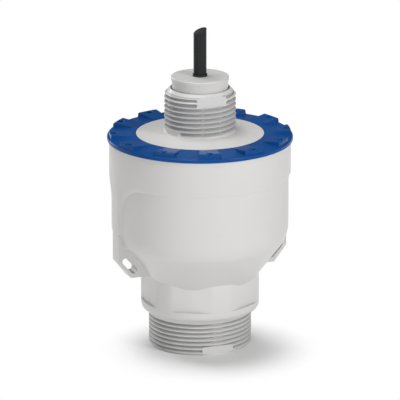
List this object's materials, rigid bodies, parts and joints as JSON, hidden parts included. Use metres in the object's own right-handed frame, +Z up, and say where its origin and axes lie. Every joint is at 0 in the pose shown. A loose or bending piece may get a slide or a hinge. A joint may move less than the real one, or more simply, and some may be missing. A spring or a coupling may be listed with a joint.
{
  "type": "radar level transmitter",
  "caption": "Compact radar level transmitter with process thread, hexagonal neck, bowl-shaped housing with lugs, blue lock ring, upper thread with entry bush and a short cable.",
  "frame": {"origin": "the axis at the lowest face, the rim round the closed antenna face", "axes": "Z up along the axis, the front with the thread flats at -Y, the lugs at +X and -X"},
  "size_m": [0.086, 0.086, 0.1507],
  "materials": {
    "housing": "moulded fluoropolymer, satin",
    "ring_blue": "moulded, glossy",
    "bush_plastic": "turned, satin",
    "jacket_black": "extruded, satin",
    "seal_rubber": "moulded",
    "plated_brass": "nickel plated",
    "screw_steel": "plain",
    "tinned_metal": "tinned",
    "horn_metal": "turned",
    "lens_white": "turned",
    "board_green": "solder resist",
    "chip_black": "moulded",
    "terminal_green": "moulded",
    "capacitor_sleeve": "sleeved can",
    "core_brown": "extruded",
    "core_blue": "extruded"
  },
  "bodies": {
    "root": {"housing_cup": "housing", "housing_lid": "housing", "lock_ring": "ring_blue", "lid_seal": "seal_rubber", "entry_bush": "bush_plastic", "entry_seal": "seal_rubber", "entry_nut": "plated_brass", "cable_seal": "seal_rubber", "gland_screw": "plated_brass", "strain_ferrule": "tinned_metal", "cable_jacket": "jacket_black", "cable_screen": "tinned_metal", "core_brown": "core_brown", "core_blue": "core_blue", "lens_antenna": "lens_white", "antenna_horn": "horn_metal", "radar_board": "board_green", "radar_chip": "chip_black", "shield_can": "tinned_metal", "standoffs": "plated_brass", "supply_board": "board_green", "board_screws": "screw_steel", "board_link": "chip_black", "terminal_block": "terminal_green", "terminal_screws": "screw_steel", "storage_capacitors": "capacitor_sleeve", "choke": "chip_black", "surge_arresters": "tinned_metal", "controller_chip": "chip_black", "radio_module": "tinned_metal"}
  },
  "joints": []
}
